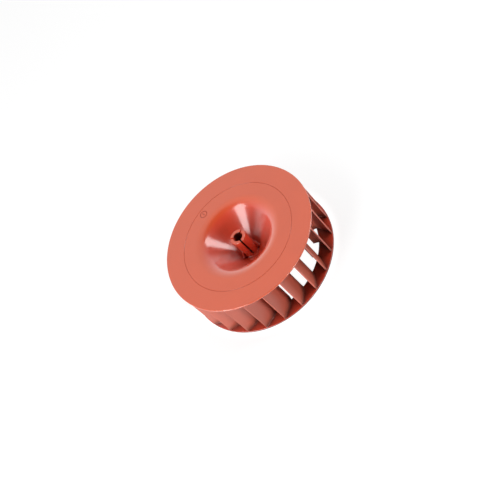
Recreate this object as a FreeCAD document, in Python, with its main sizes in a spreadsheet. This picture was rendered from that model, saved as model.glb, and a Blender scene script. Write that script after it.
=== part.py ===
import FreeCAD, Part
import math
import os
import Sketcher

# Centrifugal fan wheel of a tumble dryer, moulded in plastic, in millimetres.
# The wheel lies on the flat face of its inlet ring. Z is the axis of the wheel, z = 0 is the
# face of the ring, and the back disc with the hub tube is on top.

SIZES = [
    ("wheel_diameter", 170.0, "outside of the back disc and of the inlet ring"),
    ("wheel_height", 53.5, "from the face of the ring to the back face of the disc"),
    ("blade_count", 24, "blades around the wheel"),
    ("disc_thickness", 1.8, "wall of the back disc and of its dish"),
    ("disc_edge_bevel", 0.5, "bevel of both rim edges of the disc"),
    ("dish_rim_radius", 49.5, "where the flat disc starts to bend into the dish"),
    ("dish_bend_radius", 20.0, "trumpet curve at the mouth of the dish"),
    ("dish_slope", 44.0, "angle of the dish wall to the disc, degrees"),
    ("hub_outer_radius", 8.7, "hub tube, outside, where the clamp sits"),
    ("hub_shoulder_step", 0.3, "extra wall of the hub below the clamp and of its nose"),
    ("shaft_radius", 5.0, "bore of the hub, for a 10 mm motor shaft"),
    ("hub_recess", 2.2, "end of the hub tube below the back face"),
    ("hub_nose_length", 13.7, "lower end of the hub below the foot of the dish"),
    ("hub_foot_width", 1.2, "flat foot in the sharp corner between the hub tube and the dish"),
    ("hub_edge_chamfer", 0.4, "chamfers at the ends of the bore"),
    ("slot_count", 3, "slots that let a clamp squeeze the hub tube"),
    ("slot_width", 1.8, "width of a hub slot"),
    ("slot_length", 26.0, "length of a hub slot from the end of the tube"),
    ("slot_angle", -96.5, "direction of the first hub slot, degrees"),
    ("rib_thickness", 2.0, "gussets at the foot of the hub"),
    ("rib_width", 3.9, "gussets from the hub outwards"),
    ("rib_edge_rise", 5.8, "top of a gusset at its outer edge above the foot of the dish"),
    ("shoulder_rise", 11.8, "shoulder under the clamp and top of the gussets above that foot"),
    ("blade_depth", 22.7, "inner edges of the blades from the rim"),
    ("blade_bend_depth", 18.5, "where a blade leaves the radial line, from the rim"),
    ("blade_bend_radius", 7.25, "inside radius of the bend of a blade"),
    ("blade_hook_angle", 53.5, "turn of the outer part of a blade, degrees"),
    ("blade_thickness", 1.5, "wall of a blade"),
    ("blade_setback", 0.4, "blade tips inside the rim"),
    ("blade_phase", 7.7, "direction of the inner part of the first blade, degrees"),
    ("ring_thickness", 2.0, "inlet ring"),
    ("ring_width", 16.4, "inlet ring from the rim to its open eye"),
    ("ring_edge_bevel", 0.4, "bevel of both outer edges of the ring"),
    ("seat_depth", 0.5, "depth of the blade seats in the ring"),
    ("seat_clearance", 0.05, "gap around a blade in its seat"),
    ("witness_radius", 63.25, "fine circular line on the back face"),
    ("witness_width", 0.5, "width of that line"),
    ("witness_depth", 0.25, "depth of that line"),
    ("dial_distance", 56.5, "centre of the small moulded dial from the axis"),
    ("dial_angle", 98.0, "direction of the dial, degrees"),
    ("dial_radius", 4.2, "outer radius of the dial"),
    ("dial_line", 0.6, "width of the dial ring and of its pointer"),
    ("dial_pointer_length", 4.0, "pointer across the middle of the dial"),
    ("dial_depth", 0.4, "depth of the dial lines"),
]
SAME_CIRCLE = 0.001  # how close an edge lies to the circle that it is looked up by

# Heights and radii that follow from the sizes.
RIM = "sizes.wheel_diameter / 2"
TUBE_END = "sizes.wheel_height - sizes.hub_recess"
SHOULDER_RADIUS = "(sizes.hub_outer_radius + sizes.hub_shoulder_step)"
DISH_LINE = (
    "(sizes.wheel_height - sizes.dish_bend_radius * (1 - cos(sizes.dish_slope * 1deg))"
    " - (sizes.dish_rim_radius - sizes.dish_bend_radius * sin(sizes.dish_slope * 1deg)"
    " - {radius}) * tan(sizes.dish_slope * 1deg))"
)  # height of the straight dish wall at a radius
DISH_FOOT = DISH_LINE.format(radius=SHOULDER_RADIUS)
SHOULDER = f"{DISH_FOOT} + sizes.shoulder_rise"
NOSE_END = f"{DISH_FOOT} - sizes.hub_nose_length"

doc = FreeCAD.newDocument("dryer_fan")
sheet = doc.addObject("Spreadsheet::Sheet", "sizes")
for row, (alias, number, note) in enumerate(SIZES, start=1):
    sheet.set(f"A{row}", alias)
    sheet.set(f"B{row}", str(number))
    sheet.set(f"C{row}", note)
    sheet.setAlias(f"B{row}", alias)
doc.recompute()


def value(formula):
    """Number that a formula over the sheet gives now."""
    result = sheet.evalExpression(formula.replace("sizes.", ""))
    return float(getattr(result, "Value", result))


def new_body(label):
    body = doc.addObject("PartDesign::Body", label)
    body.Label = label
    return body


def origin_item(body, role):
    return next(item for item in body.Origin.OriginFeatures if item.Role == role)


def new_sketch(body, name, role, height=None, turn=None):
    """Sketch on an origin plane: raised by a formula, or turned about the wheel axis."""
    sketch = body.newObject("Sketcher::SketchObject", name)
    sketch.AttachmentSupport = [(origin_item(body, role), "")]
    sketch.MapMode = "FlatFace"
    turning_axis = FreeCAD.Vector(0, 1, 0) if role == "XZ_Plane" else FreeCAD.Vector(0, 0, 1)
    angle = value(turn) if turn else 0.0
    sketch.AttachmentOffset = FreeCAD.Placement(
        FreeCAD.Vector(0, 0, 0), FreeCAD.Rotation(turning_axis, angle)
    )
    if height:
        sketch.setExpression("AttachmentOffset.Base.z", height)
    if turn:
        sketch.setExpression("AttachmentOffset.Rotation.Angle", turn)
    return sketch


def dimension(sketch, name, kind, picks, formula):
    """Add one named dimension that follows the sheet."""
    number = value(formula)
    if kind == "Angle":
        number = math.radians(number)
    index = sketch.addConstraint(Sketcher.Constraint(kind, *picks, number))
    sketch.renameConstraint(index, name)
    sketch.setExpression(f"Constraints.{name}", formula)


def relate(sketch, kind, *picks):
    sketch.addConstraint(Sketcher.Constraint(kind, *picks))


def point(x, y):
    return FreeCAD.Vector(x, y, 0)


def straight(sketch, start, end):
    return sketch.addGeometry(Part.LineSegment(point(*start), point(*end)))


def arc(sketch, centre, radius, start_angle, end_angle):
    """Arc drawn anticlockwise between two angles in degrees."""
    circle = Part.Circle(point(*centre), FreeCAD.Vector(0, 0, 1), radius)
    return sketch.addGeometry(
        Part.ArcOfCircle(circle, math.radians(start_angle), math.radians(end_angle))
    )


def closed_outline(sketch, corners):
    """Closed run of straight lines through the corners; returns the index of the first line."""
    first = sketch.GeometryCount
    count = len(corners)
    for k in range(count):
        straight(sketch, corners[k], corners[(k + 1) % count])
    for k in range(count):
        relate(sketch, "Coincident", first + k, 2, first + (k + 1) % count, 1)
    return first


def circular_edges(feature, radius, height):
    """Names of the full circles of one radius at one height on a feature."""
    found = []
    for number, edge in enumerate(feature.Shape.Edges, start=1):
        curve = edge.Curve
        if not isinstance(curve, Part.Circle) or not edge.isClosed():
            continue
        off = max(abs(curve.Radius - radius), abs(curve.Center.z - height))
        if off < SAME_CIRCLE:
            found.append(f"Edge{number}")
    return found


def bevel(body, name, formula, circles):
    """Chamfer full circles, given as pairs of a radius and a height."""
    doc.recompute()
    base = body.Tip
    edges = []
    for radius, height in circles:
        edges += circular_edges(base, radius, height)
    feature = body.newObject("PartDesign::Chamfer", name)
    feature.Base = (base, edges)
    feature.setExpression("Size", formula)
    body.Tip = feature
    doc.recompute()


def repeat_around(body, name, features, count_formula):
    """Repeat features evenly around the wheel axis."""
    pattern = body.newObject("PartDesign::PolarPattern", name)
    pattern.Originals = features
    pattern.Axis = (origin_item(body, "Z_Axis"), [""])
    pattern.Angle = 360.0
    pattern.Occurrences = int(value(count_formula))
    pattern.setExpression("Occurrences", count_formula)
    body.Tip = pattern
    doc.recompute()
    return pattern


def wheel_section(body):
    """Half section of the disc, its trumpet dish and the hub tube, in the XZ plane."""
    sketch = new_sketch(body, "wheel_section", "XZ_Plane")
    rim = value(RIM)
    top = value("sizes.wheel_height")
    wall = value("sizes.disc_thickness")
    bend = value("sizes.dish_bend_radius")
    slope = math.radians(value("sizes.dish_slope"))
    bend_x = value("sizes.dish_rim_radius")
    tube_out = value("sizes.hub_outer_radius")
    tube_in = value("sizes.shaft_radius")
    tube_end = value(TUBE_END)
    thick_out = value(SHOULDER_RADIUS)
    thick_end = value(SHOULDER)
    nose = value(NOSE_END)

    def bend_end(radius):
        return bend_x - radius * math.sin(slope), top - bend + radius * math.cos(slope)

    def on_wall(start, x):
        return x, start[1] - (start[0] - x) * math.tan(slope)

    upper_end = bend_end(bend)
    lower_end = bend_end(bend - wall)
    lower_foot = on_wall(lower_end, thick_out)
    slope_degrees = math.degrees(slope)
    foot_end = on_wall(upper_end, thick_out + value("sizes.hub_foot_width"))

    bore = straight(sketch, (tube_in, nose), (tube_in, tube_end))
    end = straight(sketch, (tube_in, tube_end), (tube_out, tube_end))
    tube = straight(sketch, (tube_out, tube_end), (tube_out, thick_end))
    shoulder = straight(sketch, (tube_out, thick_end), (thick_out, thick_end))
    thick_tube = straight(sketch, (thick_out, thick_end), (thick_out, foot_end[1]))
    foot = straight(sketch, (thick_out, foot_end[1]), foot_end)
    cone = straight(sketch, foot_end, upper_end)
    mouth = arc(sketch, (bend_x, top - bend), bend, 90, 90 + slope_degrees)
    face = straight(sketch, (bend_x, top), (rim, top))
    edge = straight(sketch, (rim, top), (rim, top - wall))
    under = straight(sketch, (rim, top - wall), (bend_x, top - wall))
    under_mouth = arc(sketch, (bend_x, top - bend), bend - wall, 90, 90 + slope_degrees)
    under_cone = straight(sketch, lower_end, lower_foot)
    nose_side = straight(sketch, lower_foot, (thick_out, nose))
    nose_end = straight(sketch, (thick_out, nose), (tube_in, nose))

    for first, second in ((bore, end), (end, tube), (tube, shoulder), (shoulder, thick_tube),
                          (thick_tube, foot), (foot, cone), (face, edge), (edge, under),
                          (under_cone, nose_side), (nose_side, nose_end), (nose_end, bore)):
        relate(sketch, "Coincident", first, 2, second, 1)
    relate(sketch, "Tangent", cone, 2, mouth, 2)
    relate(sketch, "Tangent", mouth, 1, face, 1)
    relate(sketch, "Tangent", under, 2, under_mouth, 1)
    relate(sketch, "Tangent", under_mouth, 2, under_cone, 1)
    relate(sketch, "Coincident", mouth, 3, under_mouth, 3)
    for line in (bore, tube, thick_tube, edge, nose_side):
        relate(sketch, "Vertical", line)
    for line in (end, shoulder, foot, face, under, nose_end):
        relate(sketch, "Horizontal", line)
    relate(sketch, "Parallel", cone, under_cone)

    dimension(sketch, "rim", "DistanceX", (-1, 1, edge, 1), RIM)
    dimension(sketch, "back_face", "DistanceY", (-1, 1, face, 2), "sizes.wheel_height")
    dimension(sketch, "wall", "DistanceY", (edge, 2, edge, 1), "sizes.disc_thickness")
    dimension(sketch, "mouth", "DistanceX", (-1, 1, mouth, 3), "sizes.dish_rim_radius")
    dimension(sketch, "mouth_bend", "Radius", (mouth,), "sizes.dish_bend_radius")
    dimension(sketch, "slope", "Angle", (-1, 1, cone, 1), "sizes.dish_slope")
    dimension(sketch, "foot", "DistanceX", (foot, 1, foot, 2), "sizes.hub_foot_width")
    dimension(sketch, "bore", "DistanceX", (-1, 1, bore, 1), "sizes.shaft_radius")
    dimension(sketch, "tube", "DistanceX", (-1, 1, tube, 1), "sizes.hub_outer_radius")
    dimension(sketch, "thick_tube", "DistanceX", (-1, 1, thick_tube, 1), SHOULDER_RADIUS)
    dimension(sketch, "nose_side", "DistanceX", (-1, 1, nose_side, 2), SHOULDER_RADIUS)
    dimension(sketch, "shoulder", "DistanceY", (-1, 1, shoulder, 1), SHOULDER)
    dimension(sketch, "nose", "DistanceY", (-1, 1, nose_end, 1), NOSE_END)
    dimension(sketch, "tube_end", "DistanceY", (-1, 1, end, 2), TUBE_END)
    return sketch


def blade_section(body, name, height, growth):
    """Hooked section of a blade: radial at the inner edge, then bent back to the tip.

    growth is a formula for the gap that a seat leaves all round. The local X axis is the
    radial line of the inner part.
    """
    sketch = new_sketch(body, name, "XY_Plane", height, "sizes.blade_phase")
    half_formula = f"(sizes.blade_thickness / 2 + {growth})"
    inside_formula = f"(sizes.blade_bend_radius - {growth})"
    half = value(half_formula)
    inside = value(inside_formula)
    outside = inside + 2 * half
    centreline = inside + half
    hook = value("sizes.blade_hook_angle")
    inner_formula = f"{RIM} - sizes.blade_depth - {growth}"
    inner_x = value(inner_formula)
    bend_formula = f"{RIM} - sizes.blade_bend_depth"
    bend_x = value(bend_formula)
    tip_formula = f"{RIM} - sizes.blade_setback + {growth}"
    tip_radius = value(tip_formula)

    turn = math.radians(90 - hook)
    along = (math.sin(turn), -math.cos(turn))
    across = (math.cos(turn), math.sin(turn))

    def past_bend(radius, run=0.0):
        return (bend_x + radius * across[0] + run * along[0],
                -centreline + radius * across[1] + run * along[1])

    back_start = past_bend(outside)
    reach = back_start[0] * along[0] + back_start[1] * along[1]
    run = -reach + math.sqrt(reach ** 2 + tip_radius ** 2 - math.hypot(*back_start) ** 2)

    inner_end = straight(sketch, (inner_x, half), (inner_x, -half))
    inner_front = straight(sketch, (inner_x, -half), (bend_x, -half))
    front_bend = arc(sketch, (bend_x, -centreline), inside, 90 - hook, 90)
    outer_front = straight(sketch, past_bend(inside), past_bend(inside, run))
    tip = straight(sketch, past_bend(inside, run), past_bend(outside, run))
    outer_back = straight(sketch, past_bend(outside, run), back_start)
    back_bend = arc(sketch, (bend_x, -centreline), outside, 90 - hook, 90)
    inner_back = straight(sketch, (bend_x, half), (inner_x, half))

    relate(sketch, "Coincident", inner_end, 2, inner_front, 1)
    relate(sketch, "Tangent", inner_front, 2, front_bend, 2)
    relate(sketch, "Tangent", front_bend, 1, outer_front, 1)
    relate(sketch, "Coincident", outer_front, 2, tip, 1)
    relate(sketch, "Coincident", tip, 2, outer_back, 1)
    relate(sketch, "Perpendicular", outer_front, tip)
    relate(sketch, "Parallel", outer_front, outer_back)
    relate(sketch, "Tangent", outer_back, 2, back_bend, 1)
    relate(sketch, "Tangent", back_bend, 2, inner_back, 1)
    relate(sketch, "Coincident", inner_back, 2, inner_end, 1)
    relate(sketch, "Coincident", front_bend, 3, back_bend, 3)
    relate(sketch, "Horizontal", inner_front)
    relate(sketch, "Horizontal", inner_back)
    relate(sketch, "Symmetric", inner_end, 1, inner_end, 2, -1)
    dimension(sketch, "inner_edge", "DistanceX", (-1, 1, inner_end, 1), inner_formula)
    dimension(sketch, "half_wall", "DistanceY", (-1, 1, inner_end, 1), half_formula)
    dimension(sketch, "bend_start", "DistanceX", (-1, 1, front_bend, 3), bend_formula)
    dimension(sketch, "bend", "Radius", (front_bend,), inside_formula)
    dimension(sketch, "hook", "Angle", (outer_front, 1, -1, 1), "sizes.blade_hook_angle")
    dimension(sketch, "tip", "Distance", (-1, 1, tip, 2), tip_formula)
    return sketch


def extrude(body, kind, name, sketch, formula, symmetric=False):
    """Pad or pocket of a sketch by a formula."""
    doc.recompute()
    feature = body.newObject(f"PartDesign::{kind}", name)
    feature.Profile = sketch
    if symmetric:
        feature.SideType = "Symmetric"
    feature.Length = value(formula)
    feature.setExpression("Length", formula)
    body.Tip = feature
    doc.recompute()
    return feature


def add_blades(body):
    """Blades from their seats in the ring up into the disc."""
    blade = extrude(
        body, "Pad", "blade",
        blade_section(body, "blade_outline", "sizes.ring_thickness - sizes.seat_depth", "0"),
        "sizes.wheel_height - sizes.disc_thickness / 2 - sizes.ring_thickness + sizes.seat_depth",
    )
    return repeat_around(body, "blades", [blade], "sizes.blade_count")


def add_ribs(body):
    """Small gussets between the slots, from the foot of the hub tube out onto the dish."""
    turn = "sizes.slot_angle + 180 / sizes.slot_count"
    sketch = new_sketch(body, "rib_outline", "XZ_Plane", turn=turn)
    inside = "(sizes.hub_outer_radius + sizes.shaft_radius) / 2"
    outside = f"({SHOULDER_RADIUS} + sizes.rib_width)"
    low_inner = DISH_LINE.format(radius=inside) + " - sizes.disc_thickness / 2"
    low_outer = DISH_LINE.format(radius=outside) + " - sizes.disc_thickness / 2"
    edge_height = f"{DISH_FOOT} + sizes.rib_edge_rise"
    first = closed_outline(sketch, [
        (value(inside), value(low_inner)),
        (value(outside), value(low_outer)),
        (value(outside), value(edge_height)),
        (value(SHOULDER_RADIUS), value(SHOULDER)),
        (value(inside), value(SHOULDER)),
    ])
    relate(sketch, "Vertical", first + 1)
    relate(sketch, "Horizontal", first + 3)
    relate(sketch, "Vertical", first + 4)
    dimension(sketch, "inside", "DistanceX", (-1, 1, first, 1), inside)
    dimension(sketch, "low_inner", "DistanceY", (-1, 1, first, 1), low_inner)
    dimension(sketch, "outside", "DistanceX", (-1, 1, first + 1, 1), outside)
    dimension(sketch, "low_outer", "DistanceY", (-1, 1, first + 1, 1), low_outer)
    dimension(sketch, "edge_height", "DistanceY", (-1, 1, first + 2, 1), edge_height)
    dimension(sketch, "tube_side", "DistanceX", (-1, 1, first + 3, 1), SHOULDER_RADIUS)
    dimension(sketch, "top_height", "DistanceY", (-1, 1, first + 3, 1), SHOULDER)
    rib = extrude(body, "Pad", "rib", sketch, "sizes.rib_thickness", symmetric=True)
    return repeat_around(body, "ribs", [rib], "sizes.slot_count")


def cut_slots(body):
    """Slots down the hub tube from its end, so that a clamp can close it on the shaft."""
    sketch = new_sketch(body, "slot_outline", "XZ_Plane", turn="sizes.slot_angle")
    bottom = f"{TUBE_END} - sizes.slot_length"
    above = "sizes.wheel_height"
    beyond = f"{SHOULDER_RADIUS} + sizes.hub_foot_width / 2"
    first = closed_outline(sketch, [
        (0, value(bottom)), (value(beyond), value(bottom)),
        (value(beyond), value(above)), (0, value(above)),
    ])
    for step in (0, 2):
        relate(sketch, "Horizontal", first + step)
        relate(sketch, "Vertical", first + step + 1)
    relate(sketch, "PointOnObject", first, 1, -2)
    dimension(sketch, "bottom", "DistanceY", (-1, 1, first, 1), bottom)
    dimension(sketch, "above", "DistanceY", (-1, 1, first + 2, 1), above)
    dimension(sketch, "beyond", "DistanceX", (-1, 1, first + 1, 1), beyond)
    slot = extrude(body, "Pocket", "slot", sketch, "sizes.slot_width", symmetric=True)
    return repeat_around(body, "slots", [slot], "sizes.slot_count")


def cut_witness_line(body):
    """Fine V-shaped line that a mould insert leaves around the back face."""
    sketch = new_sketch(body, "witness_outline", "XZ_Plane")
    left = "sizes.witness_radius - sizes.witness_width / 2"
    right = "sizes.witness_radius + sizes.witness_width / 2"
    bottom = "sizes.wheel_height - sizes.witness_depth"
    top = "sizes.wheel_height"
    first = closed_outline(sketch, [
        (value(left), value(top)), (value("sizes.witness_radius"), value(bottom)),
        (value(right), value(top)),
    ])
    relate(sketch, "Horizontal", first + 2)
    dimension(sketch, "left", "DistanceX", (-1, 1, first, 1), left)
    dimension(sketch, "right", "DistanceX", (-1, 1, first + 2, 1), right)
    dimension(sketch, "top", "DistanceY", (-1, 1, first, 1), top)
    dimension(sketch, "middle", "DistanceX", (-1, 1, first + 1, 1), "sizes.witness_radius")
    dimension(sketch, "bottom", "DistanceY", (-1, 1, first + 1, 1), bottom)
    doc.recompute()
    groove = body.newObject("PartDesign::Groove", "witness_line")
    groove.Profile = sketch
    groove.ReferenceAxis = (sketch, ["V_Axis"])
    groove.Angle = 360.0
    body.Tip = groove
    doc.recompute()
    return groove


def cut_dial(body):
    """Small round mould mark: a ring and a bare pointer, sunk into the back face."""
    sketch = new_sketch(body, "dial_outline", "XY_Plane", "sizes.wheel_height", "sizes.dial_angle")
    centre = (value("sizes.dial_distance"), 0)
    ring_inner = "sizes.dial_radius - sizes.dial_line"
    half_pointer = "sizes.dial_line / 2"
    pointer_reach = "sizes.dial_pointer_length / 2"
    for name, radius in (("outer", "sizes.dial_radius"), ("inner", ring_inner)):
        circle = sketch.addGeometry(
            Part.Circle(point(*centre), FreeCAD.Vector(0, 0, 1), value(radius))
        )
        relate(sketch, "PointOnObject", circle, 3, -1)
        dimension(sketch, f"{name}_place", "DistanceX", (-1, 1, circle, 3), "sizes.dial_distance")
        dimension(sketch, f"{name}_radius", "Radius", (circle,), radius)
    low = f"sizes.dial_distance - {pointer_reach}"
    high = f"sizes.dial_distance + {pointer_reach}"
    first = closed_outline(sketch, [
        (value(low), -value(half_pointer)), (value(low), value(half_pointer)),
        (value(high), value(half_pointer)), (value(high), -value(half_pointer)),
    ])
    for step in (0, 2):
        relate(sketch, "Vertical", first + step)
        relate(sketch, "Horizontal", first + step + 1)
    dimension(sketch, "pointer_low", "DistanceX", (-1, 1, first, 1), low)
    dimension(sketch, "pointer_high", "DistanceX", (-1, 1, first + 2, 1), high)
    dimension(sketch, "pointer_side", "DistanceY", (-1, 1, first + 1, 1), half_pointer)
    dimension(sketch, "pointer_other", "DistanceY", (first, 1, -1, 1), half_pointer)
    return extrude(body, "Pocket", "dial", sketch, "sizes.dial_depth")


def make_fan_wheel():
    """Back disc, dish, hub and blades, moulded in one piece."""
    body = new_body("fan_wheel")
    section = wheel_section(body)
    doc.recompute()
    turned = body.newObject("PartDesign::Revolution", "turned_shape")
    turned.Profile = section
    turned.ReferenceAxis = (section, ["V_Axis"])
    turned.Angle = 360.0
    body.Tip = turned
    doc.recompute()

    rim = value(RIM)
    top = value("sizes.wheel_height")
    under = value("sizes.wheel_height - sizes.disc_thickness")
    tube_end = value(TUBE_END)
    nose = value(NOSE_END)
    tube_in = value("sizes.shaft_radius")

    bevel(body, "rim_bevel", "sizes.disc_edge_bevel", [(rim, top), (rim, under)])
    bevel(body, "bore_mouths", "sizes.hub_edge_chamfer", [(tube_in, tube_end), (tube_in, nose)])
    add_ribs(body)
    cut_slots(body)
    add_blades(body)
    cut_witness_line(body)
    cut_dial(body)
    return body


def make_inlet_ring():
    """Flat ring welded onto the blade ends; its open eye takes the air in."""
    body = new_body("inlet_ring")
    sketch = new_sketch(body, "ring_outline", "XY_Plane")
    for name, formula in (("outside", RIM),
                          ("opening", f"{RIM} - sizes.ring_width")):
        circle = sketch.addGeometry(
            Part.Circle(point(0, 0), FreeCAD.Vector(0, 0, 1), value(formula))
        )
        relate(sketch, "Coincident", circle, 3, -1, 1)
        dimension(sketch, name, "Radius", (circle,), formula)
    extrude(body, "Pad", "ring", sketch, "sizes.ring_thickness")

    outside = value(RIM)
    thick = value("sizes.ring_thickness")
    bevel(body, "ring_bevel", "sizes.ring_edge_bevel", [(outside, 0), (outside, thick)])
    seat = extrude(
        body, "Pocket", "seat",
        blade_section(body, "seat_outline", "sizes.ring_thickness", "sizes.seat_clearance"),
        "sizes.seat_depth",
    )
    repeat_around(body, "seats", [seat], "sizes.blade_count")
    return body


parts = [make_fan_wheel(), make_inlet_ring()]
doc.recompute()

for item in doc.Objects:
    if "Invalid" in item.State or "Error" in item.State:
        raise RuntimeError(f"{item.Name} failed: {item.State}")
for body in parts:
    if body.Shape.isNull() or not body.Shape.isValid() or len(body.Shape.Solids) != 1:
        raise RuntimeError(f"{body.Label} is not one valid solid")

os.makedirs("parts", exist_ok=True)
for body in parts:
    body.Shape.exportStep(f"parts/{body.Label}.step")
    print(body.Label, round(body.Shape.Volume / 1000, 2), "cm3")
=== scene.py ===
import math

import bmesh
import bpy
from mathutils import Matrix, Vector


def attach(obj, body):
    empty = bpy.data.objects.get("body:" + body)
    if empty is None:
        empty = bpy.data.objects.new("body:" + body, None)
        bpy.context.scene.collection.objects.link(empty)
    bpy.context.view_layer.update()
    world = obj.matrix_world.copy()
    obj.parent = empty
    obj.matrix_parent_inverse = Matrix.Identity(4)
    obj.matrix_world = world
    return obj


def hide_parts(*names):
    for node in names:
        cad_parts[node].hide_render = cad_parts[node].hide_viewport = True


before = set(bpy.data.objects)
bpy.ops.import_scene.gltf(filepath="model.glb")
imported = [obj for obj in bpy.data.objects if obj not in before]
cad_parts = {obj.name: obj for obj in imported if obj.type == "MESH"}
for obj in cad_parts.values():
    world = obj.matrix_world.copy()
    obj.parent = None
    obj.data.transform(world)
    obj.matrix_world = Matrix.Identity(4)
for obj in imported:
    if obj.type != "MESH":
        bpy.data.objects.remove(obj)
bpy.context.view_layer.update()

# The body of the fan wheel: the back disc with its fine witness line, the dished centre and the
# hub tube. It is one injection moulding in a tough red plastic, together with the blades, the
# gussets and the dial below. All sizes are millimetres, and this part is turned from its section.

MM = 0.001
RIM_RADIUS = 85.0
RIM_ROUNDING = 0.6
BACK_FACE = 53.5
WALL = 1.8
UNDERSIDE = BACK_FACE - WALL
DISH_RIM_RADIUS = 49.5
DISH_BEND = 20.0
DISH_SLOPE = math.radians(44)
TUBE_END = 51.3
TUBE_RADIUS = 8.7
TUBE_ROUNDING = 0.35
BORE_RADIUS = 5.0
BORE_CHAMFER = 0.4
SHOULDER_RADIUS = 9.0
SHOULDER_RISE = 11.8
SHOULDER_ROUNDING = 0.12
HUB_FILLET = 1.1
NOSE_LENGTH = 13.7
NOSE_ROUNDING = 0.4
NOSE_FILLET = 0.8
WITNESS_RADIUS = 63.25
WITNESS_HALF_WIDTH = 0.25
WITNESS_DEPTH = 0.25
TURN_STEPS = 240


def rounded(corners, largest_turn=math.radians(9)):
    """Closed outline through corners (x, y, radius), with an arc at each corner that has one."""
    outline = []
    count = len(corners)
    for k in range(count):
        x, y, radius = corners[k]
        here = Vector((x, y))
        before = (Vector(corners[k - 1][:2]) - here).normalized()
        after = (Vector(corners[(k + 1) % count][:2]) - here).normalized()
        if radius == 0:
            outline.append(here)
            continue
        between = before.angle(after)
        bisector = (before + after).normalized()
        centre = here + bisector * radius / math.sin(between / 2)
        start = here + before * radius / math.tan(between / 2) - centre
        turn = math.pi - between
        side = math.copysign(1.0, before.cross(after)) * -1
        steps = max(2, math.ceil(turn / largest_turn))
        for j in range(steps + 1):
            outline.append(centre + Matrix.Rotation(side * turn * j / steps, 2) @ start)
    return outline


def turned(mesh, outline, steps, axis=(0.0, 0.0)):
    """Solid made by turning a closed outline of (radius, height) round a vertical axis."""
    rings = []
    for j in range(steps):
        angle = 2 * math.pi * j / steps
        rings.append([
            mesh.verts.new((
                (axis[0] + p.x * math.cos(angle)) * MM,
                (axis[1] + p.x * math.sin(angle)) * MM,
                p.y * MM,
            ))
            for p in outline
        ])
    count = len(outline)
    for j in range(steps):
        near = rings[j]
        far = rings[(j + 1) % steps]
        for k in range(count):
            n = (k + 1) % count
            mesh.faces.new((near[k], near[n], far[n], far[k]))


def as_object(name, mesh):
    """Object of a finished mesh, in the scene."""
    bmesh.ops.recalc_face_normals(mesh, faces=mesh.faces)
    data = bpy.data.meshes.new(name)
    mesh.to_mesh(data)
    mesh.free()
    made = bpy.data.objects.new(name, data)
    bpy.context.scene.collection.objects.link(made)
    return made


mouth_corner = DISH_RIM_RADIUS - DISH_BEND * math.tan(DISH_SLOPE / 2)
under_corner = DISH_RIM_RADIUS - (DISH_BEND - WALL) * math.tan(DISH_SLOPE / 2)
dish_foot = BACK_FACE - (mouth_corner - SHOULDER_RADIUS) * math.tan(DISH_SLOPE)
under_foot = UNDERSIDE - (under_corner - SHOULDER_RADIUS) * math.tan(DISH_SLOPE)
shoulder = dish_foot + SHOULDER_RISE
nose_end = dish_foot - NOSE_LENGTH

wheel_outline = rounded([
    (BORE_RADIUS, nose_end + BORE_CHAMFER, 0),
    (BORE_RADIUS, TUBE_END - BORE_CHAMFER, 0),
    (BORE_RADIUS + BORE_CHAMFER, TUBE_END, 0),
    (TUBE_RADIUS, TUBE_END, TUBE_ROUNDING),
    (TUBE_RADIUS, shoulder, 0),
    (SHOULDER_RADIUS, shoulder, SHOULDER_ROUNDING),
    (SHOULDER_RADIUS, dish_foot, HUB_FILLET),
    (mouth_corner, BACK_FACE, DISH_BEND),
    (WITNESS_RADIUS - WITNESS_HALF_WIDTH, BACK_FACE, 0),
    (WITNESS_RADIUS, BACK_FACE - WITNESS_DEPTH, 0),
    (WITNESS_RADIUS + WITNESS_HALF_WIDTH, BACK_FACE, 0),
    (RIM_RADIUS, BACK_FACE, RIM_ROUNDING),
    (RIM_RADIUS, UNDERSIDE, RIM_ROUNDING),
    (under_corner, UNDERSIDE, DISH_BEND - WALL),
    (SHOULDER_RADIUS, under_foot, NOSE_FILLET),
    (SHOULDER_RADIUS, nose_end, NOSE_ROUNDING),
    (BORE_RADIUS + BORE_CHAMFER, nose_end, 0),
], largest_turn=math.radians(6))
body = bmesh.new()
turned(body, wheel_outline, TURN_STEPS)
wheel = as_object("fan_wheel_moulding", body)

# The 24 blades stand on the underside of the disc and are moulded with it. Each is radial at its
# inner edge and hooked back to its tip, with a rounded foot at the disc and a thin bead where
# its end is welded to the ring.

BLADE_COUNT = 24
BLADE_PHASE = 7.7
BLADE_WALL = 1.5
BLADE_INNER_RADIUS = 62.3
BLADE_INNER_ROUNDING = 0.7
BLADE_BEND_START = 66.5
BLADE_BEND = 7.25
BLADE_HOOK = math.radians(53.5)
BLADE_TIP_RADIUS = 84.6
BLADE_TIP_ROUNDING = 0.3
BLADE_LEVELS = (14.0, 26.0, 38.0)
BLADE_FOOT = 0.8
BLADE_FOOT_STEPS = 5
BLADE_FOOT_SINK = 0.6
BLADE_FOOT_LIMIT = 84.75
WELD_BEAD = ((0.0, 0.18), (0.08, 0.126), (0.16, 0.054), (0.26, 0.0))
RING_TOP = 2.0


def grown(outline, amount, limit=None):
    """Outline moved outwards, less and less as it nears a limiting circle round the origin."""
    count = len(outline)
    moved = []
    for k in range(count):
        along = (outline[(k + 1) % count] - outline[k - 1]).normalized()
        outwards = Vector((along.y, -along.x))
        share = 1.0
        if limit is not None and amount != 0:
            share = min(1.0, max(0.0, (limit - outline[k].length) / (2 * abs(amount))))
        moved.append(outline[k] + outwards * amount * share)
    return moved


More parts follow.
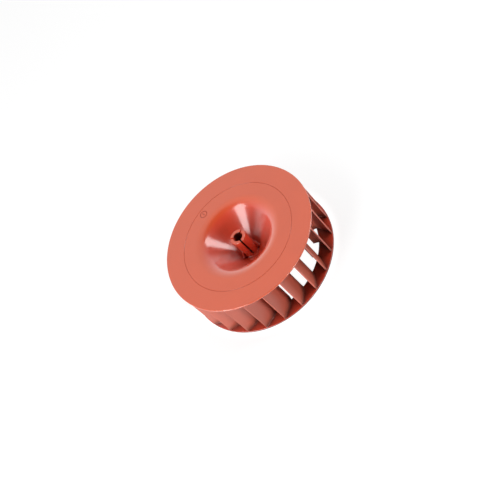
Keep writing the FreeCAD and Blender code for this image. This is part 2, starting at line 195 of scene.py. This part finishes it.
def stacked(mesh, layers, place=Matrix.Identity(4)):
    """Solid through layers (outline, height), whose outlines have the same number of points."""
    loops = [
        [mesh.verts.new(place @ Vector((p.x * MM, p.y * MM, height * MM))) for p in outline]
        for outline, height in layers
    ]
    count = len(loops[0])
    for low, high in zip(loops, loops[1:]):
        for k in range(count):
            n = (k + 1) % count
            mesh.faces.new((low[k], low[n], high[n], high[k]))
    mesh.faces.new(tuple(reversed(loops[0])))
    mesh.faces.new(tuple(loops[-1]))


def combine(target, tool, operation):
    """Join a tool to a target, or cut it out, and use the tool up."""
    step = target.modifiers.new("step", "BOOLEAN")
    step.operation = operation
    step.solver = "MANIFOLD"
    step.object = tool
    bpy.context.view_layer.update()
    ready = target.evaluated_get(bpy.context.evaluated_depsgraph_get())
    result = bpy.data.meshes.new_from_object(ready)
    target.modifiers.clear()
    target.data = result
    bpy.data.objects.remove(tool)


blade_half = BLADE_WALL / 2
outer_bend = BLADE_BEND + BLADE_WALL
hook_along = Vector((math.cos(BLADE_HOOK), -math.sin(BLADE_HOOK)))
hook_across = Vector((math.sin(BLADE_HOOK), math.cos(BLADE_HOOK)))
bend_centre = Vector((BLADE_BEND_START, -BLADE_BEND - blade_half))
hook_start = bend_centre + hook_across * outer_bend
# The hooked part runs straight on until its back corner meets the tip circle.
reach = hook_start.dot(hook_along)
run = math.sqrt(reach ** 2 + BLADE_TIP_RADIUS ** 2 - hook_start.length_squared) - reach
tip_back = hook_start + hook_along * run
tip_front = tip_back - hook_across * BLADE_WALL
tangent = math.tan(BLADE_HOOK / 2)
blade_outline = rounded([
    (BLADE_INNER_RADIUS, blade_half, BLADE_INNER_ROUNDING),
    (BLADE_INNER_RADIUS, -blade_half, BLADE_INNER_ROUNDING),
    (BLADE_BEND_START + BLADE_BEND * tangent, -blade_half, BLADE_BEND),
    (tip_front.x, tip_front.y, BLADE_TIP_ROUNDING),
    (tip_back.x, tip_back.y, BLADE_TIP_ROUNDING),
    (BLADE_BEND_START + outer_bend * tangent, blade_half, outer_bend),
], largest_turn=math.radians(15))

blade_layers = [(grown(blade_outline, width), RING_TOP + lift) for lift, width in WELD_BEAD]
blade_layers += [(blade_outline, height) for height in BLADE_LEVELS]
for step in range(BLADE_FOOT_STEPS + 1):
    turn = math.pi / 2 * step / BLADE_FOOT_STEPS
    height = UNDERSIDE - BLADE_FOOT * (1 - math.sin(turn))
    spread = BLADE_FOOT * (1 - math.cos(turn))
    blade_layers.append((grown(blade_outline, spread, BLADE_FOOT_LIMIT), height))
foot_outline = blade_layers[-1][0]
blade_layers.append((foot_outline, UNDERSIDE + BLADE_FOOT_SINK))

blades = bmesh.new()
for number in range(BLADE_COUNT):
    angle = math.radians(BLADE_PHASE + 360 / BLADE_COUNT * number)
    stacked(blades, blade_layers, Matrix.Rotation(angle, 4, "Z"))
combine(wheel, as_object("blades", blades), "UNION")

# Three gussets stiffen the foot of the hub tube, and between them three slots run down the tube,
# so that a clamp can close it on the motor shaft. Both are moulded with the wheel.

SLOT_COUNT = 3
SLOT_ANGLE = -96.5
SLOT_WIDTH = 1.8
SLOT_LENGTH = 26.0
SLOT_INSIDE = 3.0
SLOT_OUTSIDE = 9.6
GUSSET_THICKNESS = 2.0
GUSSET_REACH = 12.9
GUSSET_RISE = 5.8
GUSSET_STEP = 1.1
GUSSET_ROUNDING = 0.25
GUSSET_TOP_ROUNDING = 0.3
GUSSET_SINK = 2.0
GUSSET_TOE_SINK = 0.9
GUSSET_EDGE = ((0.0, 0.2), (0.06, 0.06), (0.2, 0.0))


def radial_plane(degrees):
    """Place for an outline of (radius, height) that is stacked in the direction of turning."""
    upright = Matrix.Rotation(math.radians(90), 4, "X")
    return Matrix.Rotation(math.radians(degrees), 4, "Z") @ upright


gusset_inside = (TUBE_RADIUS + BORE_RADIUS) / 2
gusset_top = dish_foot + GUSSET_RISE
dish_at_toe = dish_foot + (GUSSET_REACH - SHOULDER_RADIUS) * math.tan(DISH_SLOPE)
gusset_outline = rounded([
    (gusset_inside, dish_foot - GUSSET_SINK, 0),
    (GUSSET_REACH, dish_at_toe - GUSSET_TOE_SINK, 0),
    (GUSSET_REACH, gusset_top, GUSSET_ROUNDING),
    (GUSSET_REACH - GUSSET_STEP, gusset_top, GUSSET_ROUNDING),
    (SHOULDER_RADIUS, shoulder, GUSSET_TOP_ROUNDING),
    (gusset_inside, shoulder, 0),
])
gusset_half = GUSSET_THICKNESS / 2
gusset_layers = [
    (grown(gusset_outline, -inset), depth - gusset_half) for depth, inset in GUSSET_EDGE
] + [
    (grown(gusset_outline, -inset), gusset_half - depth) for depth, inset in reversed(GUSSET_EDGE)
]
slot_outline = rounded([
    (SLOT_INSIDE, TUBE_END - SLOT_LENGTH, 0),
    (SLOT_OUTSIDE, TUBE_END - SLOT_LENGTH, 0),
    (SLOT_OUTSIDE, BACK_FACE, 0),
    (SLOT_INSIDE, BACK_FACE, 0),
])
slot_layers = [(slot_outline, -SLOT_WIDTH / 2), (slot_outline, SLOT_WIDTH / 2)]
gussets = bmesh.new()
slots = bmesh.new()
for number in range(SLOT_COUNT):
    slot_turn = SLOT_ANGLE + 360 / SLOT_COUNT * number
    stacked(gussets, gusset_layers, radial_plane(slot_turn + 180 / SLOT_COUNT))
    stacked(slots, slot_layers, radial_plane(slot_turn))
combine(wheel, as_object("gussets", gussets), "UNION")
combine(wheel, as_object("slots", slots), "DIFFERENCE")

# A small dial, a ring with a bare pointer, is sunk into the back face beside the witness line.
# It is the print of a round insert in the mould, in the wheel's own plastic.

DIAL_DISTANCE = 56.5
DIAL_ANGLE = math.radians(98)
DIAL_RADIUS = 4.2
DIAL_LINE = 0.6
DIAL_DEPTH = 0.4
DIAL_POINTER = 4.0
DIAL_STEPS = 48
DIAL_CUTTER_RISE = 1.0

dial_centre = Vector((math.cos(DIAL_ANGLE), math.sin(DIAL_ANGLE), 0)) * DIAL_DISTANCE
dial_floor = BACK_FACE - DIAL_DEPTH
cutter_top = BACK_FACE + DIAL_CUTTER_RISE
dial_ring = rounded([
    (DIAL_RADIUS - DIAL_LINE, dial_floor, 0),
    (DIAL_RADIUS, dial_floor, 0),
    (DIAL_RADIUS, cutter_top, 0),
    (DIAL_RADIUS - DIAL_LINE, cutter_top, 0),
])
pointer = rounded([
    (-DIAL_POINTER / 2, -DIAL_LINE / 2, 0),
    (DIAL_POINTER / 2, -DIAL_LINE / 2, 0),
    (DIAL_POINTER / 2, DIAL_LINE / 2, 0),
    (-DIAL_POINTER / 2, DIAL_LINE / 2, 0),
])
pointer_place = Matrix.Translation(dial_centre * MM) @ Matrix.Rotation(DIAL_ANGLE, 4, "Z")
dial = bmesh.new()
turned(dial, dial_ring, DIAL_STEPS, dial_centre)
stacked(dial, [(pointer, dial_floor), (pointer, cutter_top)], pointer_place)
combine(wheel, as_object("dial", dial), "DIFFERENCE")

# The wheel is polypropylene, coloured red right through, with the gloss of a polished mould on
# its back and in its dish. The back face is painted a lighter, more orange red for the light and
# sheen on it, and the blades, whose gloss is duller, a paler red that is painted sheen. Painted
# shade darkens the deep channels between the blades, the fine grooves and creases, the foot of the
# hub and the bore.

# A zone is given in millimetres from the axis or above the floor, an openness as a share of open
# air, and a grain as its scale per metre, its detail and its swirl.
RED = (0.64, 0.053, 0.020)
# A lighter, more orange red for the back face: painted light and sheen.
LIT_BACK_RED = (0.665, 0.08, 0.0125)
# A paler red for the blades: painted sheen.
SHEEN_PALE_RED = (0.6, 0.13, 0.08)
# Painted shade in the fine grooves and creases and round the foot of the hub.
PAINTED_SHADE_RED = (0.3, 0.018, 0.008)
# Painted shade in the bore.
BORE_SHADE_RED = (0.1, 0.008, 0.003)
# Painted shade deep in the channels between the blades.
CHANNEL_SHADE_BROWN = (0.035, 0.010, 0.007)
PLASTIC_IOR = 1.5
SKIN_IOR = 1.72
ROUGHNESS = (0.32, 0.42)
ROUGHNESS_GRAIN = (420.0, 6.0, 0.0)
SURFACE_GRAIN = (1400.0, 3.0, 0.0)
SURFACE_DEPTH = 0.02
SURFACE_STRENGTH = 0.1
MARBLING = (26.0, 5.0, 0.6)
MARBLING_SHARE = 0.07
OCCLUSION_SAMPLES = 8
CHANNEL_REACH = 14.0
CHANNEL_OPENNESS = (0.46, 0.84)
GROOVE_REACH = 1.2
GROOVE_OPENNESS = (0.5, 0.92)
GROOVE_SHADE_DULLS = (0.0, 0.4)
BACK_ZONE = (49.0, 53.3)
FOOT_START = (9.0, 9.4)
FOOT_FADE = (12.0, 22.0)
FOOT_SHADE = 0.7
FOOT_GLOSS = 0.2
BORE_SHADE_EDGE = (5.1, 5.6)
BORE_GLOSS_EDGE = (5.6, 6.2)
BORE_GLOSS = 0.1
BLADE_PLASTIC_MARGIN = 1.0
FACE_MARGIN = 0.01
SHARP_ABOVE = math.radians(32)


def finish_edges(piece):
    """Smooth shading between faces that meet at a slight angle, with flat faces kept flat."""
    piece.data.shade_smooth()
    piece.data.set_sharp_from_angle(angle=SHARP_ABOVE)
    weighting = piece.modifiers.new("even shading", "WEIGHTED_NORMAL")
    weighting.keep_sharp = True


def feed(tree, node, sockets):
    """Set each socket to a plain value, or link it to another node's output."""
    for name, source in sockets.items():
        socket = node.inputs[name]
        if isinstance(source, bpy.types.NodeSocket):
            tree.links.new(source, socket)
        elif socket.type == "RGBA":
            socket.default_value = (*source, 1)
        else:
            socket.default_value = source


def added(tree, kind, sockets=None, **settings):
    """New shader node with its settings made and its sockets fed."""
    node = tree.nodes.new("ShaderNode" + kind)
    for name, value in settings.items():
        setattr(node, name, value)
    feed(tree, node, sockets or {})
    return node


def ranged(tree, value, start_end, low_high, kind="LINEAR"):
    """Value carried over from one range to another, and held at both ends."""
    spread = added(tree, "MapRange", {
        "Value": value,
        "From Min": start_end[0],
        "From Max": start_end[1],
        "To Min": low_high[0],
        "To Max": low_high[1],
    }, interpolation_type=kind)
    return spread.outputs["Result"]


def mixed(tree, share, first, second):
    """First colour where the share is 0, and second where it is 1."""
    mix = added(tree, "Mix", {"Factor": share, "A": first, "B": second}, data_type="RGBA")
    return mix.outputs["Result"]


def product(tree, first, second):
    """Two values multiplied."""
    return added(tree, "Math", {0: first, 1: second}, operation="MULTIPLY").outputs["Value"]


def distance(tree, directions):
    """How far the shaded point is from the wheel's origin along these axes, in millimetres."""
    place = added(tree, "TexCoord").outputs["Object"]
    measures = tuple(share / MM for share in directions)
    along = added(tree, "VectorMath", {0: place, 1: measures}, operation="MULTIPLY")
    length = added(tree, "VectorMath", {0: along.outputs["Vector"]}, operation="LENGTH")
    return length.outputs["Value"]


def noise(tree, scale, detail, distortion):
    """Grain fixed to the piece, from 0 to 1."""
    texture = added(tree, "TexNoise", {
        "Vector": added(tree, "TexCoord").outputs["Object"],
        "Scale": scale,
        "Detail": detail,
        "Distortion": distortion,
    })
    return texture.outputs["Fac"]


def openness(tree, reach):
    """1 in the open, and less where the wheel's own walls stand within reach."""
    shade = added(tree, "AmbientOcclusion", {"Distance": reach * MM}, samples=OCCLUSION_SAMPLES)
    return shade.outputs["AO"]


def marbled(tree, colour):
    """Colour that wavers slightly, as the plastic flowed in the mould."""
    darker = tuple(part * (1 - MARBLING_SHARE) for part in colour)
    lighter = tuple(part * (1 + MARBLING_SHARE) for part in colour)
    return mixed(tree, noise(tree, *MARBLING), darker, lighter)


def red_plastic(name, colour, lit_back_colour, reflection, skin, skin_roughness, groove_shade_share, channel_shade):
    """Moulded plastic under a glossy skin, with painted light near the back face and painted shade
    where shade falls.
    """
    made = bpy.data.materials.new(name)
    made.use_nodes = True
    tree = made.node_tree
    radius = distance(tree, (1, 1, 0))
    height = distance(tree, (0, 0, 1))

    # Painted light: the back face takes the lighter, more orange back colour.
    lit_back = ranged(tree, height, BACK_ZONE, (0.0, 1.0))
    plastic = mixed(tree, lit_back, marbled(tree, colour), marbled(tree, lit_back_colour))
    # Painted shade deep in the channels, darker where the wheel's own walls close round a point.
    channel_shade_mask = ranged(tree, openness(tree, CHANNEL_REACH), CHANNEL_OPENNESS, (channel_shade, 0.0))
    channel_shaded = mixed(tree, channel_shade_mask, plastic, CHANNEL_SHADE_BROWN)
    # Painted shade in the fine grooves and creases, where the walls close in within a short reach.
    groove_shade = ranged(tree, openness(tree, GROOVE_REACH), GROOVE_OPENNESS, (groove_shade_share, 0.0))
    groove_shaded = mixed(tree, groove_shade, channel_shaded, PAINTED_SHADE_RED)
    # Painted shade round the foot of the hub, fading outwards across the dish.
    foot_shade_start = ranged(tree, radius, FOOT_START, (0.0, FOOT_SHADE))
    foot_shade = product(tree, foot_shade_start, ranged(tree, radius, FOOT_FADE, (1.0, 0.0)))
    foot_shaded = mixed(tree, foot_shade, groove_shaded, PAINTED_SHADE_RED)
    # Painted shade inside the bore.
    bore_shade = ranged(tree, radius, BORE_SHADE_EDGE, (1.0, 0.0))

    skin_left = product(
        tree,
        ranged(tree, groove_shade, GROOVE_SHADE_DULLS, (skin, 0.0)),
        ranged(tree, foot_shade, (0.0, FOOT_SHADE), (1.0, FOOT_GLOSS)),
    )
    outside_bore = ranged(tree, radius, BORE_GLOSS_EDGE, (BORE_GLOSS, 1.0))
    bump = added(tree, "Bump", {
        "Strength": SURFACE_STRENGTH,
        "Distance": SURFACE_DEPTH * MM,
        "Height": noise(tree, *SURFACE_GRAIN),
    })
    feed(tree, tree.nodes["Principled BSDF"], {
        "Base Color": mixed(tree, bore_shade, foot_shaded, BORE_SHADE_RED),
        "Roughness": ranged(tree, noise(tree, *ROUGHNESS_GRAIN), (0.0, 1.0), ROUGHNESS),
        "IOR": PLASTIC_IOR,
        "Specular IOR Level": reflection,
        "Coat Weight": product(tree, skin_left, outside_bore),
        "Coat Roughness": skin_roughness,
        "Coat IOR": SKIN_IOR,
        "Normal": bump.outputs["Normal"],
    })
    return made


finish_edges(wheel)
# The joins and cuts have left an empty material slot on the wheel.
wheel.data.materials.clear()
wheel.data.materials.append(red_plastic(
    "wheel plastic", RED, LIT_BACK_RED,
    reflection=0.5, skin=1.0, skin_roughness=0.14, groove_shade_share=0.9, channel_shade=0.0,
))
wheel.data.materials.append(red_plastic(
    "blade plastic", SHEEN_PALE_RED, SHEEN_PALE_RED,
    reflection=0.3, skin=0.5, skin_roughness=0.38, groove_shade_share=0.1, channel_shade=0.95,
))
# The blades and the underside of the disc between them take the blade plastic, with its painted
# sheen.
blade_plastic_radius = (BLADE_INNER_RADIUS - BLADE_PLASTIC_MARGIN) * MM
blade_plastic_height = (UNDERSIDE + FACE_MARGIN) * MM
for face in wheel.data.polygons:
    if face.center.xy.length > blade_plastic_radius and face.center.z < blade_plastic_height:
        face.material_index = 1
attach(wheel, "root")
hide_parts("fan_wheel")

# The inlet ring: a flat ring moulded in the same plastic and welded onto the blade ends.
# Its open eye lets the air in, and the wheel lies on it here.

RING_EYE_RADIUS = 68.6
RING_EYE_ROUNDING = 0.25
RING_RIM_ROUNDING = 0.4

ring_outline = rounded([
    (RING_EYE_RADIUS, 0.0, RING_EYE_ROUNDING),
    (RIM_RADIUS, 0.0, RING_RIM_ROUNDING),
    (RIM_RADIUS, RING_TOP, RING_RIM_ROUNDING),
    (RING_EYE_RADIUS, RING_TOP, RING_EYE_ROUNDING),
], largest_turn=math.radians(18))
ring_body = bmesh.new()
turned(ring_body, ring_outline, TURN_STEPS)
ring = as_object("inlet_ring_moulding", ring_body)
finish_edges(ring)
ring.data.materials.append(red_plastic(
    "ring plastic", RED, RED,
    reflection=0.5, skin=1.0, skin_roughness=0.3, groove_shade_share=0.1, channel_shade=0.95,
))
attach(ring, "root")
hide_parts("inlet_ring")

# The studio floor is a plain white sheet. The camera sees it white, with a faint shadow on it;
# under the wheel its glow is painted brighter, so that the wheel's shadow there hardly shows.
# Reflections see it white too, with a painted shadow where the wheel stands on it. The light that
# it throws back up at the wheel is that of a grey sheet.

FLOOR_SIZE = 6.0
BOUNCE_GREY = (0.35, 0.35, 0.35)
BOUNCE_ROUGHNESS = 0.9
SHADOW_GREY = (0.3, 0.3, 0.3)
# Painted light and shadow: the camera's glow is brighter under the wheel, and the reflections'
# glow is dark there.
VIEW_ZONE = (80.0, 95.0)
VIEW_GLOW = (0.97, 0.76)
MIRROR_ZONE = (70.0, 100.0)
MIRROR_GLOW = (0.0, 0.8)


def seen_by(tree, *kinds):
    """1 for rays of these kinds, and 0 for all others."""
    path = added(tree, "LightPath")
    total = path.outputs[kinds[0]]
    for kind in kinds[1:]:
        either = added(tree, "Math", {0: total, 1: path.outputs[kind]}, operation="MAXIMUM")
        total = either.outputs["Value"]
    return total


def show(tree, share, first, second, surface):
    """Give a material or world its first look where the share is 0, its second where it is 1."""
    choice = added(tree, "MixShader", {0: share, 1: first.outputs[0], 2: second.outputs[0]})
    tree.links.new(choice.outputs[0], tree.nodes[surface].inputs["Surface"])


floor_mesh = bmesh.new()
floor_mesh.faces.new([
    floor_mesh.verts.new((x * FLOOR_SIZE / 2, y * FLOOR_SIZE / 2, 0))
    for x, y in ((-1, -1), (1, -1), (1, 1), (-1, 1))
])
floor = as_object("floor", floor_mesh)

white = bpy.data.materials.new("white floor")
white.use_nodes = True
sheet = white.node_tree
from_axis = distance(sheet, (1, 1, 0))
bounce = sheet.nodes["Principled BSDF"]
feed(sheet, bounce, {"Base Color": BOUNCE_GREY, "Roughness": BOUNCE_ROUGHNESS})
glow_level = added(sheet, "Mix", {
    "Factor": seen_by(sheet, "Is Camera Ray"),
    "A": ranged(sheet, from_axis, MIRROR_ZONE, MIRROR_GLOW, "SMOOTHSTEP"),
    "B": ranged(sheet, from_axis, VIEW_ZONE, VIEW_GLOW, "SMOOTHSTEP"),
})
glow = added(sheet, "Emission", {"Strength": glow_level.outputs["Result"]})
shaded = added(sheet, "BsdfDiffuse", {"Color": SHADOW_GREY})
seen_sheet = added(sheet, "AddShader", {0: shaded.outputs[0], 1: glow.outputs[0]})
white_to = seen_by(sheet, "Is Camera Ray", "Is Glossy Ray", "Is Transmission Ray")
show(sheet, white_to, bounce, seen_sheet, "Material Output")
floor.data.materials.append(white)

# The surround is white cloth: bright behind the wheel, fading towards the ceiling, and dim at the
# camera's side. To the camera itself it is a plain white backdrop.

WHITE = (1, 1, 1)
BEHIND = (0.0, 1.0, 0.3)
WALL_ZONE = (0.25, 0.65)
WALL_LEVEL = (0.08, 1.46)
CEILING_ZONE = (0.1, 0.7)
CEILING_SHARE = (1.0, 0.53)

surround = bpy.data.worlds.new("surround")
bpy.context.scene.world = surround
surround.use_nodes = True
cloth = surround.node_tree
direction = added(cloth, "TexCoord").outputs["Generated"]
behind = added(cloth, "VectorMath", {0: direction, 1: BEHIND}, operation="DOT_PRODUCT")
overhead = added(cloth, "SeparateXYZ", {0: direction})
wall_level = ranged(cloth, behind.outputs["Value"], WALL_ZONE, WALL_LEVEL, "SMOOTHSTEP")
ceiling_share = ranged(cloth, overhead.outputs["Z"], CEILING_ZONE, CEILING_SHARE)
room = cloth.nodes["Background"]
feed(cloth, room, {"Color": WHITE, "Strength": product(cloth, wall_level, ceiling_share)})
backdrop = added(cloth, "Background", {"Color": WHITE})
white_to = seen_by(cloth, "Is Camera Ray", "Is Transmission Ray")
show(cloth, white_to, room, backdrop, "World Output")

# Four long softboxes with cloth fronts, on stands around the wheel. The two tall ones make the
# streaks in the dish, and the two low ones, in front and at the left, light the blades.

LAMP_DISTANCE = 1.5


def placed(right, up, back, place):
    """Matrix of a lamp or camera that looks away from its back direction."""
    return Matrix((
        (right.x, up.x, back.x, place.x),
        (right.y, up.y, back.y, place.y),
        (right.z, up.z, back.z, place.z),
        (0, 0, 0, 1),
    ))


def towards(azimuth, elevation):
    """Direction from the wheel, in degrees round from +X and up from the floor."""
    turn = math.radians(azimuth)
    rise = math.radians(elevation)
    level = math.cos(rise)
    return Vector((math.cos(turn) * level, math.sin(turn) * level, math.sin(rise)))


def softbox(name, low, high, width, radiance):
    """Evenly bright oval lamp that faces the wheel, from one (azimuth, elevation) to another."""
    foot = towards(*low) * LAMP_DISTANCE
    top = towards(*high) * LAMP_DISTANCE
    height = (top - foot).length
    lamp = bpy.data.lights.new(name, "AREA")
    lamp.shape = "ELLIPSE"
    lamp.size = width
    lamp.size_y = height
    lamp.energy = radiance * math.pi * (math.pi / 4 * width * height)
    made = bpy.data.objects.new(name, lamp)
    bpy.context.scene.collection.objects.link(made)
    middle = (foot + top) / 2
    back = middle.normalized()
    up = (top - foot - back * (top - foot).dot(back)).normalized()
    made.matrix_world = placed(up.cross(back), up, back, middle)


softbox("softbox left", low=(-152, 20), high=(170.5, 61.5), width=0.6, radiance=5.0)
softbox("softbox right", low=(-19, 20), high=(7, 60), width=0.5, radiance=5.0)
softbox("softbox front", low=(-72, 2), high=(-72, 22), width=0.8, radiance=8.0)
softbox("softbox low", low=(-162, 1), high=(-162, 15), width=0.9, radiance=18.0)

# The camera looks down on the back disc as in the photograph, rolled so that the axis of the
# wheel leans to the upper left.

CAMERA_ELEVATION = math.radians(48.72)
CAMERA_ROLL = math.radians(46.25)
CAMERA_DISTANCE = 1.106
SENSOR_WIDTH = 36.0
FOCAL_LENGTH = 74.9
SHIFT_X = -0.023
SHIFT_Y = 0.0189
NEAREST = 0.05
FARTHEST = 30.0

lens = bpy.data.cameras.new("camera")
lens.sensor_width = SENSOR_WIDTH
lens.lens = FOCAL_LENGTH
lens.shift_x = SHIFT_X
lens.shift_y = SHIFT_Y
lens.clip_start = NEAREST
lens.clip_end = FARTHEST
camera = bpy.data.objects.new("camera", lens)
bpy.context.scene.collection.objects.link(camera)
level_right = Vector((1, 0, 0))
level_up = Vector((0, math.sin(CAMERA_ELEVATION), math.cos(CAMERA_ELEVATION)))
camera_right = level_right * math.cos(CAMERA_ROLL) - level_up * math.sin(CAMERA_ROLL)
camera_up = level_right * math.sin(CAMERA_ROLL) + level_up * math.cos(CAMERA_ROLL)
camera_back = Vector((0, -math.cos(CAMERA_ELEVATION), math.sin(CAMERA_ELEVATION)))
camera.matrix_world = placed(
    camera_right, camera_up, camera_back, camera_back * CAMERA_DISTANCE,
)
bpy.context.scene.camera = camera
bpy.context.scene.view_settings.view_transform = "Standard"
